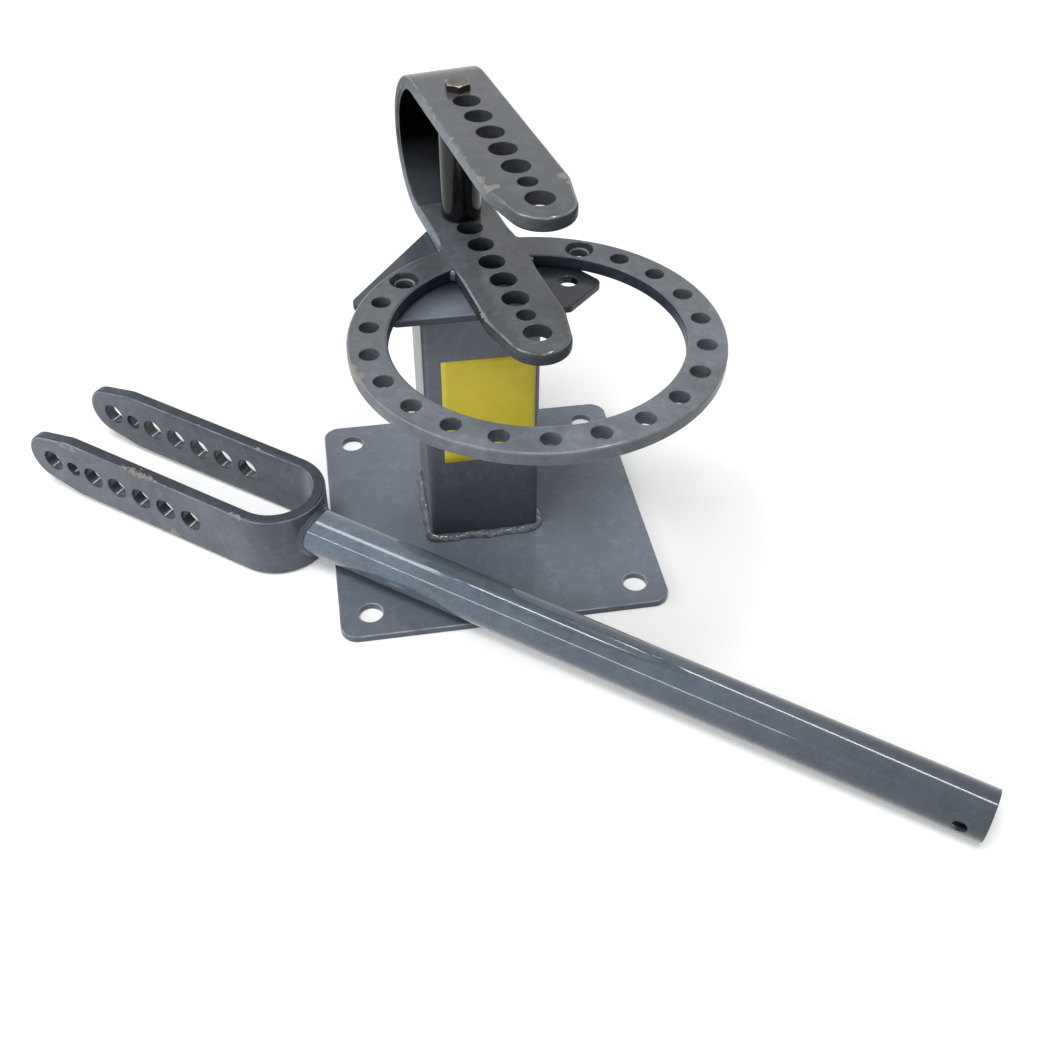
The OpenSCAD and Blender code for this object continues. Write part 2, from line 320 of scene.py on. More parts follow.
def enamel(name, colour, roughness=0.34, gloss=0.35, chips=(), streaks=None, fades=(), worn_and_lit=False, shine=0.15,
           cloudy=(0.72, 1.2), film=0.12, runs=(), grainy=0.13):
    """Thick slate enamel: cloudy tone, faint orange peel, dust specks and chips down to the primer.

    worn rubs it patchily, as on edges.
    The rubbed option lightens it patchily, as on edges: partly wear and partly a painted highlight.
    streaks are a turn and a stretch of fine lines, drawn lighter, and film is how rough the clear coat is.
    The fades paint light and shade into the tone.
    """
    s = Shader(name)
    cloud = s.range(s.noise(30, 9.0, 0.70, 0.5), 0.30, 0.70)
    tone = s.mix(cloud, scaled(colour, cloudy[0]), scaled(colour, cloudy[1]))
    rub = s.range(s.noise(110, 6.0, 0.7, 0.9, shift=(3, 1, 2)), 0.52, 0.7, 0, 0.6)
    tone = s.mix(rub, tone, scaled(colour, 1.35, 0.014))
    grain = s.range(s.noise(150, 7.0, 0.75, 0.3, shift=(1, 6, 3)), 0.34, 0.66)
    tone = s.mix(grain, scaled_tone(s, tone, 1 - grainy), scaled_tone(s, tone, 1 + grainy))
    speck = s.range(s.noise(1500, 1.0, 0.5), 0.71, 0.75, 0, 0.35)
    tone = s.mix(speck, tone, scaled(colour, 1.0, 0.05))
    peel = s.noise(520, 2.0, 0.5)
    normal = s.bump(peel, 0.10, 0.0004)
    wave = s.noise(38, 2.0, 0.5, shift=(5, 0, 1))
    normal = s.bump(wave, 0.16, 0.0012, normal)
    rough = s.range(cloud, 0, 1, roughness - 0.05, roughness + 0.07)
    # Fine lighter lines: partly drawing marks, partly a painted highlight of streaky reflections on the tube
    # and in the bores.
    if streaks:
        line = s.noise(1.0, 3.0, 0.6, stretch=streaks[1], turn=streaks[0])
        drawn = s.range(line, 0.45, 0.68, 0, 0.5)
        tone = s.mix(drawn, tone, scaled(colour, 1.3))
        normal = s.bump(line, 0.10, 0.0003, normal)
    tone = painted_light_tone(s, tone, fades)
    # Lighter patches on rubbed finishes: partly wear, partly a painted highlight along the edges.
    if worn_and_lit:
        patchy = s.range(s.noise(75, 5.0, 0.7, 1.0, shift=(2, 7, 4)), 0.34, 0.62, 0.05, 0.85)
        broad = s.range(s.noise(17, 2.0, 0.5, shift=(8, 1, 5)), 0.38, 0.6, 0.25, 1.0)
        tone = s.mix(s.math("MULTIPLY", patchy, broad), tone, scaled(colour, 1.9, 0.12))
    if chips:
        mask = s.spots(chips, 260)
        if runs:
            mask = s.math("MAXIMUM", mask, s.edge_chips(runs))
        tone = s.mix(mask, tone, PRIMER)
        rough = s.math("MAXIMUM", rough, s.math("MULTIPLY", mask, 0.7))
        normal = s.bump(s.math("SUBTRACT", 1.0, mask), 0.5, 0.0002, normal)
    s.link(tone, s.bsdf.inputs["Base Color"])
    s.link(rough, s.bsdf.inputs["Roughness"])
    s.link(normal, s.bsdf.inputs["Normal"])
    s.set("Specular IOR Level", shine)
    s.set("Coat Weight", gloss)
    s.set("Coat Roughness", film)
    return s.material


def bare_steel(name, share=1.0):
    """Dull plated steel of the bolt's head, with brown stain in its hollows and painted shade: the head's
    sides darker than its top.
    """
    s = Shader(name)
    stain = s.range(s.noise(230, 3.0, 0.6, 0.4), 0.40, 0.75)
    tone = s.mix(stain, scaled((0.125, 0.116, 0.100), share), scaled((0.080, 0.072, 0.058), share))
    # Painted shade: darker below the head's top, on its sides.
    tone = painted_light_tone(s, tone, [(UP, bolt_high.z - 0.0011, bolt_high.z - 0.0003, 0.28, 1.0)])
    fine = s.noise(1400, 2.0, 0.6)
    s.link(tone, s.bsdf.inputs["Base Color"])
    s.link(s.range(stain, 0, 1, 0.34, 0.58), s.bsdf.inputs["Roughness"])
    s.link(s.bump(fine, 0.2, 0.0002), s.bsdf.inputs["Normal"])
    s.set("Metallic", 0.85)
    return s.material


def decal_paper(name):
    """Bare yellow film with a faint crease pattern."""
    s = Shader(name)
    cloud = s.range(s.noise(60, 3.0, 0.55, 0.3), 0.35, 0.7)
    s.link(s.mix(cloud, (0.80, 0.66, 0.035), (0.86, 0.74, 0.06)), s.bsdf.inputs["Base Color"])
    s.link(s.range(cloud, 0, 1, 0.32, 0.42), s.bsdf.inputs["Roughness"])
    s.link(s.bump(s.noise(90, 3.0, 0.6, 1.2), 0.25, 0.0006), s.bsdf.inputs["Normal"])
    return s.material


# Meshes

def add_object(name, data):
    made = bpy.data.objects.new(name, data)
    bpy.context.scene.collection.objects.link(made)
    return made


def add_piece(name, mesh, material, body):
    """A piece of the part from its finished mesh, on a body and in a slot."""
    mesh.materials.append(material)
    made = add_object(name, mesh)
    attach(made, body)
    return made


def smooth(mesh, sharp=None):
    """Shades the mesh smooth, apart from edges sharper than an angle in degrees where one is given."""
    mesh.polygons.foreach_set("use_smooth", [True] * len(mesh.polygons))
    if sharp:
        mesh.set_sharp_from_angle(angle=radians(sharp))


def mesh_object(name, points, faces, material, body):
    mesh = bpy.data.meshes.new(name)
    mesh.from_pydata([tuple(p) for p in points], [], faces)
    mesh.validate()
    smooth(mesh)
    return add_piece(name, mesh, material, body)


def loft(stations, material, name, body):
    """A closed mesh through loops of points, the first and last of which may be flat."""
    mesh = bpy.data.meshes.new(name)
    work = bmesh.new()
    loops = [[work.verts.new(p) for p in station] for station in stations]
    for a, b in zip(loops, loops[1:]):
        for i in range(len(a)):
            j = (i + 1) % len(a)
            work.faces.new((a[i], b[i], b[j], a[j]))
    bmesh.ops.remove_doubles(work, verts=work.verts, dist=2e-6)
    bmesh.ops.dissolve_degenerate(work, edges=work.edges, dist=1e-7)
    bmesh.ops.recalc_face_normals(work, faces=work.faces)
    work.to_mesh(mesh)
    work.free()
    return add_piece(name, mesh, material, body)


def unroll(u, v, n, arm, middle):
    """Bends the flat bar: u runs along it, v across it and n outwards from its middle layer."""
    radius = middle + n
    turn = (u - arm) / middle
    if turn <= 0:
        return u, v, -radius
    if turn >= pi:
        return 2 * arm + pi * middle - u, v, radius
    return arm + radius * sin(turn), v, -radius * cos(turn)


def bent_bar(name, place, arm, gap, edge, material, body):
    """The U-shaped bar with rolled edges. edge(u) is the radius of its edges."""
    middle = (gap + BAR_THICKNESS) / 2
    half = BAR_WIDTH / 2
    corner = Vector((TAPER + NOSE_SHIFT, half))
    lean = atan2(corner.y, corner.x) + acos(NOSE_RADIUS / corner.length)
    shoulder = 0.022
    shoulder_at = TAPER + shoulder * tan((lean - pi / 2) / 2)
    # Each place of the outline is along, across and the direction that it faces
    side = []
    for i in range(NOSE_STEPS + 1):
        a = pi + (lean - pi) * i / NOSE_STEPS
        side.append((-NOSE_SHIFT + NOSE_RADIUS * cos(a), NOSE_RADIUS * sin(a), cos(a), sin(a)))
    for i in range(SHOULDER_STEPS + 1):
        a = lean + (pi / 2 - lean) * i / SHOULDER_STEPS
        side.append((shoulder_at + shoulder * cos(a), half - shoulder + shoulder * sin(a), cos(a), sin(a)))
    for i in range(1, ARM_STEPS + 1):
        side.append((shoulder_at + (arm - shoulder_at) * i / ARM_STEPS, half, 0, 1))
    whole = 2 * arm + pi * middle
    bend = [(arm + pi * middle * i / BEND_STEPS, half, 0, 1) for i in range(1, BEND_STEPS)]
    contour = side + bend + [(whole - u, h, -a, b) for u, h, a, b in reversed(side)]
    stations = []
    for u, h, a, b in contour:
        r = edge(u)
        profile = []
        for i in range(EDGE_STEPS + 1):
            t = pi / 2 * i / EDGE_STEPS
            profile.append((r * (1 - sin(t)), -BAR_THICKNESS / 2 + r * (1 - cos(t))))
        profile += [(inset, -n) for inset, n in reversed(profile)]
        left = [(u - a * inset, max(0.0, h - b * inset), n) for inset, n in profile]
        right = [(x, -y, n) for x, y, n in reversed(left)]
        stations.append([place(*unroll(x, y, n, arm, middle)) for x, y, n in left + right])
    return loft(stations, material, name, body)


def drill(made, holes):
    """Cuts round holes with rolled rims.

    Each is a middle, an axis, a depth, a radius and, where it is countersunk, its mouth's radius, or else 0.
    """
    rim, over, count = HOLE_RIM, 2 * HOLE_RIM, HOLE_STEPS
    bends = (0.4, 0.8, 1.2, pi / 2)
    points, faces = [], []
    for middle, axis, depth, radius, mouth in holes:
        x = axis.orthogonal().normalized()
        y = axis.cross(x)
        low, high = -depth / 2, depth / 2
        profile = [(radius + rim, low - over), (radius + rim, low)]
        profile += [(radius + rim * (1 - sin(t)), low + rim * (1 - cos(t))) for t in bends]
        if mouth > radius:
            profile.append((radius, high - (mouth - radius)))
            profile.append((mouth - rim / 2, high - rim / 2))
            profile += [(mouth + rim / 2, high), (mouth + rim / 2, high + over)]
        else:
            profile += [(radius + rim * (1 - sin(t)), high - rim * (1 - cos(t))) for t in reversed(bends)]
            profile += [(radius + rim, high), (radius + rim, high + over)]
        start = len(points)
        for r, z in profile:
            for i in range(count):
                a = tau * i / count
                points.append(middle + axis * z + (x * cos(a) + y * sin(a)) * r)
        for row in range(len(profile) - 1):
            for i in range(count):
                j = (i + 1) % count
                b = start + row * count
                faces.append((b + i, b + j, b + count + j, b + count + i))
        faces.append(tuple(start + i for i in reversed(range(count))))
        faces.append(tuple(start + (len(profile) - 1) * count + i for i in range(count)))
    cut(made, points, faces)


def cut(made, points, faces):
    """Takes a closed shape out of one of this script's own meshes."""
    mesh = bpy.data.meshes.new("cutter")
    mesh.from_pydata([tuple(p) for p in points], [], faces)
    tool = add_object("cutter", mesh)
    step = made.modifiers.new("cut", "BOOLEAN")
    step.object = tool
    step.solver = "EXACT"
    bpy.context.view_layer.update()
    graph = bpy.context.evaluated_depsgraph_get()
    shaped = bpy.data.meshes.new_from_object(made.evaluated_get(graph))
    made.modifiers.clear()
    made.data = shaped
    bpy.data.objects.remove(tool)
    smooth(shaped, CUT_SHARP)
    even_normals(made)


def even_normals(made):
    """Keeps large flat faces from being shaded round where rolled edges meet them."""
    step = made.modifiers.new("normals", "WEIGHTED_NORMAL")
    step.weight = 70
    step.keep_sharp = True


def finish_faces(made, thick, *finishes):
    """Gives walls and rolled edges the first two finishes and adds the others for later.

    thick(point) is the direction of the bar's thickness there.
    """
    for material in finishes:
        made.data.materials.append(material)
    for face in made.data.polygons:
        lean = abs(face.normal.dot(thick(face.center)))
        if lean < WALL_LEAN:
            face.material_index = WALL
        elif lean < RIM_LEAN:
            face.material_index = RIM


def soften(node, width):
    """Rounds the hard edges of a CAD node by modifiers and leaves its points alone."""
    made = nodes[node]
    smooth(made.data)
    weld = made.modifiers.new("join", "WELD")
    weld.merge_threshold = 1e-5
    flat = made.modifiers.new("flat", "DECIMATE")
    flat.decimate_type = "DISSOLVE"
    flat.angle_limit = radians(0.4)
    bevel = made.modifiers.new("edges", "BEVEL")
    bevel.width = width
    bevel.segments = 3
    bevel.limit_method = "ANGLE"
    bevel.angle_limit = radians(32)
    bevel.use_clamp_overlap = False
    made.modifiers.new("normals", "WEIGHTED_NORMAL").weight = 80


def paint(node, material, rim=None):
    """Paints a CAD node, and its rounded edges in another finish where one is given."""
    made = nodes[node]
    made.data.materials.clear()
    made.data.materials.append(material)
    if rim:
        made.data.materials.append(rim)
        made.modifiers["edges"].material = 1


def noise_at(x, y, z):
    return noise.noise(Vector((x, y, z)))


def weld_bead(name, path, leg, material, body, closed=False, pitch=0.0034, seed=0.0, crest=0.05,
              lump=0.3, spread=1.0, sag=0.06):
    """A lumpy weld bead along a corner.

    Each step of the path is a corner point and the directions of both walls.
    leg is its size, pitch and crest are its ripples' length and height, lump is how uneven it is,
    spread widens it on the first wall and sag flattens it.
    """
    ring = 11
    root = 0.15
    points, faces = [], []
    run = 0.0
    for i, (corner, out, up) in enumerate(path):
        if i:
            run += (corner - path[i - 1][0]).length
        swell = noise_at(run * 70, seed, 0) * lump + noise_at(run * 190, seed, 3) * lump / 3
        slump = noise_at(run * 90, seed, 7) * lump + noise_at(run * 170, seed, 5) * lump / 4
        beat = run / pitch + 0.35 * noise_at(run * 190, seed, 9)
        ends = 1.0 if closed else min(1.0, 0.35 + 3.2 * min(i, len(path) - 1 - i) / ring)
        for j in range(ring):
            turn = pi / 2 * j / (ring - 1)
            ripple = crest * sin(tau * (beat + 0.30 * sin(2 * turn) + seed))
            grain = 0.04 * noise.noise(corner * 420 + Vector((j * 0.5, seed, 0)))
            reach = leg * ends * (1 + sin(2 * turn) * (ripple + grain - sag))
            points.append(corner + out * reach * spread * (1 + swell) * cos(turn)
                          + up * reach * (1 + slump) * sin(turn))
        points.append(corner - out * leg * root - up * leg * root)
    row = ring + 1
    count = len(path)
    for i in range(count if closed else count - 1):
        a, b = i * row, (i + 1) % count * row
        for j in range(row):
            k = (j + 1) % row
            faces.append((a + j, b + j, b + k, a + k))
    if not closed:
        faces.append(tuple(range(row - 1, -1, -1)))
        faces.append(tuple(range((count - 1) * row, count * row)))
    return mesh_object(name, points, faces, material, body)


def square_path(middle, half, corner, z):
    """A bead's path round a square with rounded corners, upwards from z."""
    path = []
    side = 2 * (half - corner)
    for quarter in range(4):
        turn = Matrix.Rotation(quarter * pi / 2, 3, "Z")
        along = int(side / BEAD_STEP)
        for i in range(along):
            spot = Vector((half, -side / 2 + side * i / along, 0))
            path.append((middle + turn @ spot + UP * z, turn @ RIGHT, UP))
        bends = int(corner * pi / 2 / BEAD_STEP)
        for i in range(bends):
            a = pi / 2 * i / bends
            way = Vector((cos(a), sin(a), 0))
            spot = Vector((half - corner, half - corner, 0)) + way * corner
            path.append((middle + turn @ spot + UP * z, turn @ way, UP))
    return path


# Chips and finishes

ring_low, ring_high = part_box("stop_ring")
ring_outer = (ring_high.x - ring_low.x) / 2


def on_ring(angle, radius, z):
    """A point of the ring; the angle runs from the ring's front, to the right when positive."""
    a = atan2(-arm_way.y, -arm_way.x) + radians(angle)
    return Vector((pin.x, pin.y, 0)) + Vector((cos(a), sin(a), 0)) * radius + UP * z


# Spots where the paint is chipped, and strips of it along edges
frame_chips = [(on_frame(x, y, z), r) for x, y, z, r in (
    (0.017, arm_half - 0.002, arm_high, 0.0056), (0.0175, arm_half - 0.006, arm_high, 0.0046),
    (0.018, -arm_half + 0.003, arm_high, 0.0070), (0.010, -0.020, arm_high, 0.0040),
    (0.172, arm_half, arm_high - 0.012, 0.0034), (0.176, arm_half, arm_high - 0.040, 0.0030))]
frame_runs = [(on_frame(x, y * arm_half, z), on_frame(w, y * arm_half, z), r) for x, w, y, z, r in (
    (0.047, 0.008, 1, arm_high, 0.0038), (0.080, 0.070, 1, arm_high, 0.0028),
    (0.056, 0.049, 1, arm_high, 0.0026), (0.064, 0.056, -1, arm_high, 0.0030),
    (0.118, 0.110, 1, arm_high, 0.0022), (0.040, 0.012, 1, low_top, 0.0030),
    (0.128, 0.114, 1, low_top, 0.0022), (0.072, 0.050, -1, low_top, 0.0016))]
ring_chips = [(on_ring(a, ring_outer, low_top), r) for a, r in (
    (-86, 0.0080), (-91, 0.0060), (86, 0.0060), (30, 0.0040))]
ring_runs = [(on_ring(a, ring_outer, low_top), on_ring(b, ring_outer, low_top), r) for a, b, r in (
    (-94, -86, 0.0050), (-86, -78, 0.0044), (56, 63, 0.0036), (80, 88, 0.0050), (88, 96, 0.0036),
    (28, 33, 0.0026), (-38, -33, 0.0026), (118, 124, 0.0026))]
fork_inner = fork_radius - BAR_THICKNESS
fork_chips = [(on_handle(x, y, z), r) for x, y, z, r in (
    (-0.092, -fork_radius, -arm_half + 0.003, 0.0085), (-0.170, -fork_radius, arm_half - 0.004, 0.0050),
    (-0.064, fork_inner, arm_half, 0.0040))]
fork_runs = [(on_handle(x, y, z), on_handle(w, y, z), r) for x, w, y, z, r in (
    (-0.134, -0.094, -fork_radius, arm_half, 0.0060), (-0.048, -0.022, -fork_radius, arm_half, 0.0036),
    (-0.101, -0.083, -fork_radius, -arm_half, 0.0056), (-0.075, -0.058, fork_inner, -arm_half, 0.0026),
    (-0.186, -0.172, -fork_radius, arm_half - 0.004, 0.0030), (-0.120, -0.104, fork_inner, arm_half, 0.0018))]

SLATE = (0.092, 0.104, 0.118)
PLATE = (0.160, 0.186, 0.228)
POST = (0.118, 0.130, 0.158)
BLUE = (0.112, 0.130, 0.165)
TUBE_BLUE = (0.084, 0.112, 0.150)
BORE_STREAKS = ((0, 0, 0), (900, 900, 60))
tube_turn = (0, 0, -atan2(tube_way.y, tube_way.x))
top_plate_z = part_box("top_plate")[1].z

# Painted light and shade on the base plate: lighter to the right, darker towards its front edge.
plate_painted_light = [(RIGHT, -0.11, 0.11, 0.95, 1.38), (FRONT, 0.0, 0.11, 1.05, 0.75)]
plate_paint = enamel("plate_enamel", PLATE, 0.30, 0.35, cloudy=(0.90, 1.07), fades=plate_painted_light, grainy=0.04)
# The plate's rounded edges, lighter in rubbed patches: partly wear, partly a painted highlight.
plate_rim = enamel("plate_rim_enamel", PLATE, 0.30, 0.5, worn_and_lit=True, fades=plate_painted_light)
# Painted shade on the top plate: darker to the right, in a band just inside the ring, in a painted shadow by
# the ring's corner at the arm, and on its edge faces below the top.
ring_centre = tuple(on_frame(0, 0, top_plate_z))
ring_corner = tuple(on_frame(RING_INNER, arm_half, top_plate_z))
top_plate_paint = enamel("top_plate_enamel", scaled(PLATE, 0.8), 0.34, 0.30, cloudy=(0.84, 1.1), grainy=0.06,
                         fades=[(RIGHT, -0.02, 0.05, 1.55, 0.38),
                                (ring_centre, RING_INNER - 0.014, RING_INNER, 1.0, 0.35),
                                (ring_corner, 0.008, 0.032, 0.2, 1.0),
                                (UP, top_plate_z - 0.0012, top_plate_z - 0.0004, 0.25, 1.0)])
# Painted light and shade on the post: its front darker towards the bottom and lighter towards the top, its
# left side darker towards the top.
post_paint = enamel("post_enamel", POST, 0.36, 0.25, cloudy=(0.88, 1.08), grainy=0.05,
                    fades=[(UP, 0.0, 0.13, 0.42, 1.5, FRONT), (UP, 0.06, 0.16, 1.05, 0.4, -RIGHT)])
# The post's rounded edges are lighter: a painted highlight.
post_rim_painted_highlight = enamel("post_rim_enamel", scaled(POST, 1.3), 0.30, 0.4)
bend_middle = (arm_low + arm_high) / 2
frame_tone = scaled(SLATE, 0.87)
# Painted light: the lower arm lighter, the upper arm a little darker.
frame_painted_light = [(UP, arm_low + 0.01, arm_low + 0.035, 1.32, 0.95)]
pin_along = pin.dot(arm_way)
# Painted light on the upper arm's left side wall: a bright band from the pin onwards, darkening into the
# bend.
wall_painted_light = [(arm_way, pin_along - 0.01, pin_along + 0.03, 1.4, 3.4, arm_side),
              (arm_way, pin_along + 0.12, pin_along + 0.165, 1.0, 0.4, arm_side)]
# Painted light and shade on the lower arm's left side wall: darker past the pin, much lighter near the bend
# and darker upwards.
low_wall_top = arm_low + 0.040
low_wall_painted_light = [(arm_way, pin_along - 0.01, pin_along + 0.03, 1.15, 0.52, arm_side),
                  (arm_way, pin_along + 0.085, pin_along + 0.105, 1.0, 6.5, arm_side),
                  (UP, arm_low + 0.016, low_wall_top, 1.0, 0.154, arm_side)]
frame_paint = enamel("frame_enamel", frame_tone, 0.33, 0.5, frame_chips, runs=frame_runs, fades=frame_painted_light,
                     cloudy=(0.66, 1.26))
# The bars' side walls: a darker tone, painted shade, carrying the painted light above.
frame_wall = enamel("frame_wall_enamel", scaled(frame_tone, 0.8), 0.33, 0.06, frame_chips, runs=frame_runs,
                    fades=wall_painted_light, shine=0.03)
low_wall = enamel("low_wall_enamel", scaled(frame_tone, 0.8), 0.33, 0.06, frame_chips, runs=frame_runs,
                  fades=low_wall_painted_light, shine=0.03)
# Rounded edges, lighter in rubbed patches: partly wear, partly a painted highlight.
frame_rim = enamel("frame_rim_enamel", frame_tone, 0.30, 0.6, frame_chips, runs=frame_runs, worn_and_lit=True)
# Painted shade in the arms' holes: a darker tone.
frame_bore_painted_shade = enamel("frame_bore_enamel", scaled(SLATE, 0.5), 0.40, 0.1, streaks=BORE_STREAKS, shine=0.05,
                    cloudy=(0.35, 1.65))
# Painted shade inside the frame's bend: near black, darkest towards the top.
bend_painted_shade = enamel("bend_painted_shade_enamel", SLATE, 0.30, 0.0, shine=0.02,
                    fades=[(UP, arm_low + BAR_THICKNESS, arm_low + 0.036, 0.6, 0.01)])
# Painted light on all of the ring's finishes: lighter at its front, away from the arm.
ring_painted_light = [(arm_way, pin_along - 0.03, pin_along + 0.07, 1.80, 1.08)]
ring_paint = enamel("ring_enamel", SLATE, 0.33, 0.45, ring_chips, runs=ring_runs, fades=ring_painted_light)
ring_wall = enamel("ring_wall_enamel", scaled(SLATE, 0.95), 0.33, 0.3, ring_chips, runs=ring_runs,
                   fades=ring_painted_light)
# Rounded edges, lighter in rubbed patches: partly wear, partly a painted highlight.
ring_rim = enamel("ring_rim_enamel", SLATE, 0.30, 0.6, ring_chips, runs=ring_runs, fades=ring_painted_light,
                  worn_and_lit=True)
# Painted shade in the ring's holes: a darker tone.
ring_bore_painted_shade = enamel("ring_bore_enamel", scaled(SLATE, 0.65), 0.40, 0.1, streaks=BORE_STREAKS, fades=ring_painted_light,
                   shine=0.05, cloudy=(0.35, 1.65))
# Painted shade on the ring's inner wall: near black.
ring_inside_painted_shade = enamel("ring_inside_enamel", (0.022, 0.028, 0.041), 0.33, 0.1, fades=ring_painted_light, shine=0.05)
# Painted highlight and shade in the countersinks: bright at the foot of the cone, darker towards its mouth.
seat_low = low_top - (SINK_RADIUS - STOP_HOLE)
ring_seat_painted_light = enamel("ring_seat_enamel", SLATE, 0.40, 0.1, cloudy=(0.8, 1.2), shine=0.05,
                   fades=[(UP, seat_low, seat_low + 0.0008, 4.5, 0.3)])
fork_paint = enamel("fork_enamel", BLUE, 0.33, 0.45, fork_chips, runs=fork_runs, cloudy=(0.66, 1.26))
# Painted shade on the fork's side walls: a much darker tone.
fork_wall_painted_shade = enamel("fork_wall_enamel", scaled(BLUE, 0.45), 0.33, 0.2, fork_chips, runs=fork_runs, shine=0.08)
# Rounded edges, lighter in rubbed patches: partly wear, partly a painted highlight.
fork_rim = enamel("fork_rim_enamel", BLUE, 0.30, 0.6, fork_chips, runs=fork_runs, worn_and_lit=True)
# Painted shade in the fork's holes: a darker tone, with lighter lines along them as a painted reflection.
fork_bore_painted_shade = enamel("fork_bore_enamel", scaled(BLUE, 0.5), 0.25, 0.8, streaks=((0, 0, 0), (60, 60, 900)),
                   cloudy=(0.5, 1.5))
tube_start = bend_face.dot(tube_way)
# Painted light on the tube: lighter near the bend and darker towards its far end; its lighter drawn lines are
# partly a painted highlight.
tube_paint = enamel("tube_enamel", TUBE_BLUE, 0.3, 0.9, streaks=(tube_turn, (6, 600, 600)), film=0.06,
                    grainy=0.06, fades=[(tube_way, tube_start, tube_start + 0.42, 1.5, 0.48)])
sleeve_paint = enamel("sleeve_enamel", (0.002, 0.0025, 0.004), 0.14, 0.0, shine=0.34)
collar_paint = enamel("collar_enamel", scaled(BLUE, 0.85), 0.30, 0.5, cloudy=(0.6, 1.2))
weld_paint = enamel("weld_enamel", (0.112, 0.130, 0.156), 0.22, 1.0, cloudy=(0.6, 1.3), film=0.16)
steel = bare_steel("bolt_steel")
# The head's chamfer and rounded edges, much lighter: a painted highlight.
steel_painted_highlight = bare_steel("bolt_edge_painted_highlight_steel", 2.2)

for name, width in (("base_plate", 0.0007), ("post_tube", 0.0006), ("top_plate", 0.0008),
                    ("spreader_sleeve", 0.0004), ("handle_tube", 0.0005)):
    soften(name, width)
paint("base_plate", plate_paint, plate_rim)
paint("top_plate", top_plate_paint)
paint("post_tube", post_paint, post_rim_painted_highlight)
paint("spreader_sleeve", sleeve_paint)
paint("handle_tube", tube_paint)

# Bars and ring with rolled edges in place of the sharp CAD ones
frame_gap = arm_high - arm_low - 2 * BAR_THICKNESS
ring_middle = arm_low + BAR_THICKNESS / 2
ground_from, ground_to = RING_INNER * 0.95, ring_outer * 0.985


def frame_edge(u):
    """The lower arm's edges are ground flush where the ring meets them."""
    if ground_from < u < ground_to:
        return GROUND_EDGE
    off = min(abs(u - ground_from), abs(u - ground_to))
    return GROUND_EDGE + (BAR_EDGE - GROUND_EDGE) * min(1.0, off / GROUND_FADE)


frame_bar = bent_bar("frame_bar_rolled", lambda x, y, z: on_frame(x, y, bend_middle + z), FRAME_ARM,
                     frame_gap, frame_edge, frame_paint, "frame")
row_holes = [(x, PIN_HOLE) for x in [0] + ROW_AT] + [(SMALL_HOLE_AT, STOP_HOLE)]
arm_off = (frame_gap + BAR_THICKNESS) / 2
drill(frame_bar, [(on_frame(x, 0, bend_middle + side * arm_off), UP, BAR_THICKNESS, r, 0)
                  for x, r in row_holes for side in (-1, 1)])


def frame_thick(point):
    beyond = (point - pin).dot(arm_way) - FRAME_ARM
    return UP if beyond < 0 else (arm_way * beyond + UP * (point.z - bend_middle)).normalized()


def in_bore(along, across):
    """Whether a face that isn't flat, at this place on an arm, belongs to one of the holes."""
    reach = PIN_HOLE + 0.001
    return abs(across) < reach and -reach < along < ROW_AT[-1] + reach


finish_faces(frame_bar, frame_thick, frame_wall, frame_rim, bend_painted_shade, frame_bore_painted_shade, low_wall)
for face in frame_bar.data.polygons:
    along = (face.center - pin).dot(arm_way)
    height = face.center.z - bend_middle
    if face.material_index != FACE and in_bore(along, (face.center - pin).dot(arm_side)):
        face.material_index = FRAME_BORE
    elif face.material_index == RIM and height < 0 and RING_INNER * 0.9 < along < ring_outer * 1.02:
        face.material_index = FACE
    if face.material_index == WALL and face.center.z < low_wall_top:
        face.material_index = FRAME_LOW_WALL
    beyond = along - FRAME_ARM
    if beyond > -0.0005 and sqrt(max(0, beyond) ** 2 + height ** 2) < frame_gap / 2 + 0.0002:
        face.material_index = FRAME_BEND
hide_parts("frame_bar")

fork_gap = 2 * fork_inner
fork_shift = -FORK_ARM - fork_radius
fork_bar = bent_bar("fork_bar_rolled", lambda x, y, z: on_handle(x + fork_shift, z, y), FORK_ARM, fork_gap,
                    lambda u: FORK_EDGE, fork_paint, "handle")
fork_off = (fork_gap + BAR_THICKNESS) / 2
drill(fork_bar, [(on_handle(x + fork_shift, side * fork_off, 0), fork_side, BAR_THICKNESS, r, 0)
                 for x, r in row_holes for side in (-1, 1)])


def fork_thick(point):
    away = point - bend_face
    beyond = away.dot(tube_way) + fork_radius
    return fork_side if beyond < 0 else (tube_way * beyond + fork_side * away.dot(fork_side)).normalized()


finish_faces(fork_bar, fork_thick, fork_wall_painted_shade, fork_rim, fork_bore_painted_shade)
for face in fork_bar.data.polygons:
    away = face.center - fork_pin
    if face.material_index != FACE and in_bore(away.dot(tube_way), away.dot(fork_up)):
        face.material_index = FORK_BORE
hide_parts("fork_bar")

ring_at = (RING_INNER + ring_outer) / 2
ring_half = (ring_outer - RING_INNER) / 2
stations = []
for i in range(RING_STEPS + 1):
    profile = []
    for x, y, start in ((1, 1, 0), (-1, 1, pi / 2), (-1, -1, pi), (1, -1, 3 * pi / 2)):
        for j in range(RING_EDGE_STEPS + 1):
            t = start + pi / 2 * j / RING_EDGE_STEPS
            r = ring_at + x * (ring_half - RING_EDGE) + RING_EDGE * cos(t)
            z = y * (BAR_THICKNESS / 2 - RING_EDGE) + RING_EDGE * sin(t)
            profile.append(on_ring(360 * i / RING_STEPS, r, ring_middle + z))
    stations.append(profile)
stop_ring = loft(stations, ring_paint, "stop_ring_rolled", "frame")
ring_holes = [(i * STOP_STEP, 0) for i in range(-8, 9)]
ring_holes += [(side * SCREW_ANGLE, SINK_RADIUS) for side in (-1, 1)]
drill(stop_ring, [(on_ring(a, STOP_CIRCLE, ring_middle), UP, BAR_THICKNESS, STOP_HOLE, mouth)
                  for a, mouth in ring_holes])
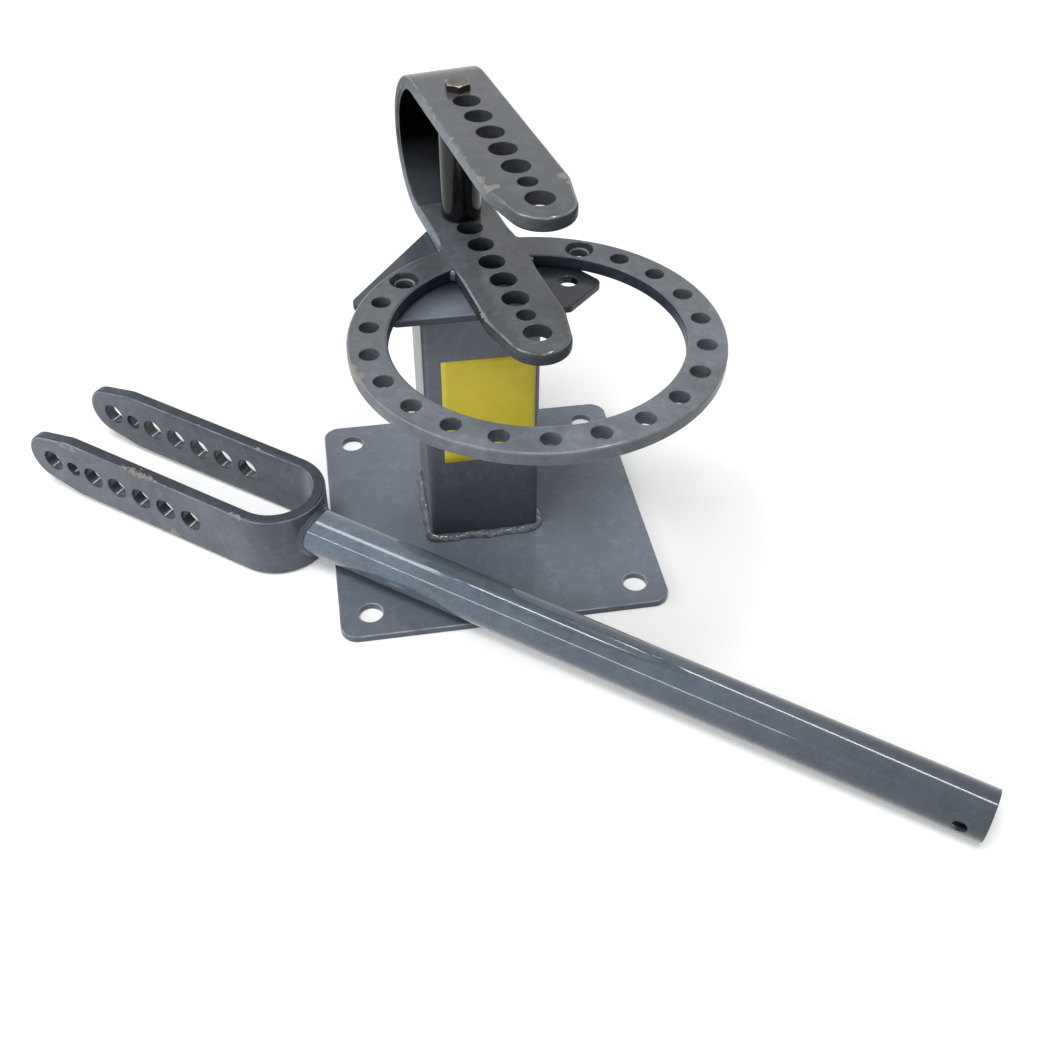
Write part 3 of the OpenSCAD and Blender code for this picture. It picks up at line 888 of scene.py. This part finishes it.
# The lower arm's room in the ring, as a box that is cut out
room_from, room_to, room_half = 0.02, 0.13, 0.01
arm_room = [on_frame(x, y, ring_middle + z) for z in (-room_half, room_half) for x, y in (
    (room_from, -arm_half), (room_to, -arm_half), (room_to, arm_half), (room_from, arm_half))]
box_faces = [(3, 2, 1, 0), (4, 5, 6, 7), (0, 1, 5, 4), (1, 2, 6, 5), (2, 3, 7, 6), (3, 0, 4, 7)]
cut(stop_ring, arm_room, box_faces)
finish_faces(stop_ring, lambda point: UP, ring_wall, ring_rim, ring_bore_painted_shade, ring_seat_painted_light, ring_inside_painted_shade)
inner_band, outer_band = RING_INNER + 0.002, ring_outer - 0.003
for face in stop_ring.data.polygons:
    out = Vector((face.center.x - pin.x, face.center.y - pin.y, 0)).length
    if out < inner_band:
        if face.material_index == WALL:
            face.material_index = RING_INSIDE
        elif face.material_index == RIM and face.center.z > ring_middle:
            face.material_index = FACE
    elif face.material_index != FACE and out < outer_band:
        face.material_index = RING_BORE
    if abs(abs(face.normal.z) - sqrt(0.5)) < 0.02 and abs(out - STOP_CIRCLE) < SINK_RADIUS:
        face.material_index = RING_SEAT
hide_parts("stop_ring")

# Bolt with its six-sided head turned as in the photograph

def bolt_loop(z, radius=0.0, chamfer=0.0):
    """A round loop, or the head's outline where the radius is None; its chamfer falls towards the corners."""
    loop = []
    for i in range(BOLT_STEPS):
        a = tau * i / BOLT_STEPS
        r = radius if radius is not None else BOLT_FLATS / 2 / cos(a % (pi / 3) - pi / 6)
        way = Vector((cos(a - pi / 2), sin(a - pi / 2), 0))
        loop.append(Vector((bolt_middle.x, bolt_middle.y, z - chamfer * max(0.0, r - BOLT_TOP))) + way * r)
    return loop


head_low = bolt_high.z - BOLT_HEAD
bolt = loft([bolt_loop(bolt_low.z), bolt_loop(bolt_low.z, BOLT_SHANK), bolt_loop(head_low, BOLT_SHANK),
             bolt_loop(head_low, None), bolt_loop(bolt_high.z, None, BOLT_CHAMFER),
             bolt_loop(bolt_high.z, BOLT_TOP), bolt_loop(bolt_high.z)],
            steel, "spreader_bolt_turned", "frame")
smooth(bolt.data, BOLT_SHARP)
even_normals(bolt)
finish_faces(bolt, lambda point: UP, steel, steel_painted_highlight)
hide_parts("spreader_bolt")

# Weld beads in place of the plain CAD ones
post_low, post_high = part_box("post_tube")
post_middle = (post_low + post_high) / 2
post_middle.z = 0
post_half = (post_high.x - post_low.x) / 2
foot_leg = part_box("foot_weld")[1].x - post_high.x
foot = weld_bead("foot_bead", square_path(post_middle, post_half, POST_CORNER, post_low.z),
                 foot_leg * 0.64, weld_paint, "pedestal", closed=True, pitch=0.0075,
                 crest=0.07, lump=0.5, spread=1.1)
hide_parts("foot_weld")

head_leg = post_high.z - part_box("head_welds")[0].z
for quarter in range(4):
    turn = Matrix.Rotation(quarter * pi / 2, 3, "Z")
    count = int(HEAD_BEAD / BEAD_STEP)
    path = [(post_middle + turn @ Vector((post_half, HEAD_BEAD * (i / count - 0.5), 0)) + UP * post_high.z,
             turn @ RIGHT, -UP) for i in range(count + 1)]
    bead = weld_bead("head_bead_%d" % quarter, path, head_leg, weld_paint, "pedestal",
                     pitch=0.0032, seed=quarter)
    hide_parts("head_welds")

for radius, inward in ((RING_INNER, 1), (ring_outer, -1)):
    along = sqrt(radius ** 2 - arm_half ** 2)
    for side in (-1, 1):
        corner = on_frame(along, side * arm_half, 0)
        # From the corner the bead leans on the ring's rim and on the arm's side
        tangent = (corner - on_frame(0, 0, 0)).normalized().cross(UP)
        away = tangent * (1 if tangent.dot(arm_side * side) > 0 else -1)
        inset = 0.0004
        path = []
        for i in range(RING_BEAD_STEPS + 1):
            z = arm_low + inset + (BAR_THICKNESS - 2 * inset) * i / RING_BEAD_STEPS
            path.append((corner + UP * z, away, -arm_way * inward))
        name = "ring_bead_%s_%s" % ("in" if inward > 0 else "out", "left" if side > 0 else "right")
        bead = weld_bead(name, path, 0.0030, weld_paint, "frame", pitch=0.005,
                         seed=side + radius * 40, crest=0.03)
        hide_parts("ring_welds")

tube_path = []
for i in range(TUBE_BEAD_STEPS):
    a = tau * i / TUBE_BEAD_STEPS
    y, z = TUBE_RADIUS * cos(a), TUBE_RADIUS * sin(a)
    along = sqrt(fork_radius ** 2 - y ** 2) - fork_radius
    radial = fork_side * cos(a) + fork_up * sin(a)
    drum = (tube_way * (along + fork_radius) + fork_side * y).normalized()
    tube_path.append((on_handle(along, y, z), (radial - drum * radial.dot(drum)).normalized(), tube_way))
collar = weld_bead("handle_bead", tube_path, 0.0028, collar_paint, "handle", closed=True,
                   pitch=0.006, seed=3, crest=0.012, lump=0.22, sag=0.36)
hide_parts("handle_weld")

# Bare decal on the post's front
points, faces = [], []
for row in range(DECAL_STEPS + 1):
    for column in range(DECAL_STEPS + 1):
        x = post_middle.x + DECAL_SHIFT + DECAL_WIDTH * (column / DECAL_STEPS - 0.5)
        z = DECAL_LOW + DECAL_HEIGHT * row / DECAL_STEPS
        blister = DECAL_BLISTER * max(0, noise_at(x * 90, 0, z * 90))
        points.append(Vector((x, post_low.y - DECAL_LIFT - blister, z)))
for row in range(DECAL_STEPS):
    for column in range(DECAL_STEPS):
        a = row * (DECAL_STEPS + 1) + column
        faces.append((a, a + 1, a + DECAL_STEPS + 2, a + DECAL_STEPS + 1))
decal = mesh_object("decal", points, faces, decal_paper("decal_film"), "pedestal")
film = decal.modifiers.new("film", "SOLIDIFY")
film.thickness = DECAL_FILM
film.offset = -1


# Floor, world, lights and camera

WORLD_LEVEL = 0.25
FLOOR_SIZE = 12
FLOOR_LIFT = 0.25
FLOOR_BOUNCE = 0.45
SKY_LEVEL = 1.7
GLINT_SIZE = 0.35
TUBE_SEEN_AT = 0.2


def seen_share(tree):
    """1 for a look at the backdrop, direct, reflected or refracted, and 0 for the light that it gives off."""
    rays = tree.nodes.new("ShaderNodeLightPath")
    seen = rays.outputs["Is Camera Ray"]
    for name in ("Is Glossy Ray", "Is Transmission Ray"):
        either = tree.nodes.new("ShaderNodeMath")
        either.operation = "MAXIMUM"
        tree.links.new(seen, either.inputs[0])
        tree.links.new(rays.outputs[name], either.inputs[1])
        seen = either.outputs[0]
    return seen


world = bpy.data.worlds.new("studio")
bpy.context.scene.world = world
world.use_nodes = True
tree = world.node_tree
background = tree.nodes["Background"]
strength = tree.nodes.new("ShaderNodeMapRange")
strength.inputs["To Min"].default_value = WORLD_LEVEL
strength.inputs["To Max"].default_value = 1.0
tree.links.new(seen_share(tree), strength.inputs["Value"])
tree.links.new(strength.outputs["Result"], background.inputs["Strength"])
background.inputs["Color"].default_value = (1, 1, 1, 1)

floor_mesh = bpy.data.meshes.new("floor")
floor_corners = [(x * FLOOR_SIZE / 2, y * FLOOR_SIZE / 2, 0) for x, y in ((-1, -1), (1, -1), (1, 1), (-1, 1))]
floor_mesh.from_pydata(floor_corners, [], [(0, 1, 2, 3)])
floor = add_object("floor", floor_mesh)
sheet = Shader("floor_sheet")
white = sheet.mix(sheet.noise(3, 2.0), (0.955, 0.955, 0.955), (0.965, 0.965, 0.965))
sheet.link(sheet.mix(seen_share(sheet.tree), (FLOOR_BOUNCE,) * 3, white), sheet.bsdf.inputs["Base Color"])
sheet.set("Roughness", 0.9)
sheet.set("Specular IOR Level", 0.1)
sheet.set("Emission Color", (1, 1, 1, 1))
lift = sheet.math("MULTIPLY", seen_share(sheet.tree), FLOOR_LIFT)
sheet.link(lift, sheet.bsdf.inputs["Emission Strength"])
floor_mesh.materials.append(sheet.material)


def area_light(name, spot, aim, width, depth, power):
    light = bpy.data.lights.new(name, "AREA")
    light.shape = "RECTANGLE"
    light.size = width
    light.size_y = depth
    light.energy = power
    made = add_object(name, light)
    made.visible_camera = False
    made.location = spot
    made.rotation_euler = (Vector(aim) - Vector(spot)).to_track_quat("-Z", "Y").to_euler()
    return made


def axes_at(spot, x, y, z):
    """The matrix of an object at a spot, with its own axes in three directions."""
    return Matrix.Translation(spot) @ Matrix((x, y, z)).transposed().to_4x4()


def strip_light(name, lean, distance, along, length, width, level, slope=0.0):
    """A lamp for reflections alone, along the tube, at an angle to the line of sight as seen along the tube.

    slope turns its far end up, as a share of its length.
    """
    middle = on_handle(along, 0, 0)
    sight = camera_spot - on_handle(TUBE_SEEN_AT, 0, 0)
    sight = (sight - tube_way * sight.dot(tube_way)).normalized()
    over = tube_way.cross(sight)
    over = over if over.z > 0 else -over
    way = sight * cos(radians(lean)) + over * sin(radians(lean))
    spot = middle + way * distance
    made = area_light(name, spot, middle, length, width, level * pi * length * width)
    rise = way.cross(tube_way)
    rise = rise if rise.z > 0 else -rise
    long_way = (tube_way + rise * slope).normalized()
    made.matrix_world = axes_at(spot, long_way, way.cross(long_way), way)
    made.visible_diffuse = False


level_out = cos(CAMERA_ELEVATION)
sight_back = Vector((sin(CAMERA_AZIMUTH) * level_out, -cos(CAMERA_AZIMUTH) * level_out,
                     sin(CAMERA_ELEVATION)))
camera_spot = CAMERA_TARGET + sight_back * CAMERA_DISTANCE
sky = bpy.data.lights.new("sky", "SUN")
sky.energy = SKY_LEVEL
sky.angle = radians(25)
sky_lamp = add_object("sky", sky)
sky_lamp.rotation_euler = (radians(10), radians(-13), 0)
sky_lamp.visible_glossy = False
area_light("left_window", (-1.9, 0.1, 0.9), (0, 0, 0.15), 0.7, 0.9, 9).visible_glossy = False
area_light("front_box", (-1.25, -1.55, 0.75), (0, 0, 0.1), 0.9, 0.7, 10).visible_glossy = False
glint = area_light("glint", (0.30, -0.95, 1.95), (0, 0, 0.1), GLINT_SIZE, GLINT_SIZE,
                   14 * pi * GLINT_SIZE ** 2)
glint.visible_diffuse = False
strip_light("near_strip", 43, 2.0, -0.51, 0.53, 0.15, 24, 0.45)
strip_light("far_strip", 59.8, 2.05, 0.24, 1.41, 0.12, 20, 0.95)
strip_light("bend_window", 36, 2.0, -1.03, 0.6, 0.5, 9)
strip_light("front_strip", -22, 1.7, -0.45, 1.25, 0.06, 20)

camera_data = bpy.data.cameras.new("camera")
camera_data.sensor_fit = "VERTICAL"
camera_data.sensor_height = SENSOR_MM
camera_data.lens = CAMERA_LENS_MM
camera = add_object("camera", camera_data)
bpy.context.scene.camera = camera
right = Vector((cos(CAMERA_AZIMUTH), sin(CAMERA_AZIMUTH), 0))
above = sight_back.cross(right)
camera_x = right * cos(CAMERA_ROLL) + above * sin(CAMERA_ROLL)
camera_y = above * cos(CAMERA_ROLL) - right * sin(CAMERA_ROLL)
camera.matrix_world = axes_at(camera_spot, camera_x, camera_y, sight_back)

bpy.context.scene.view_settings.view_transform = "Standard"
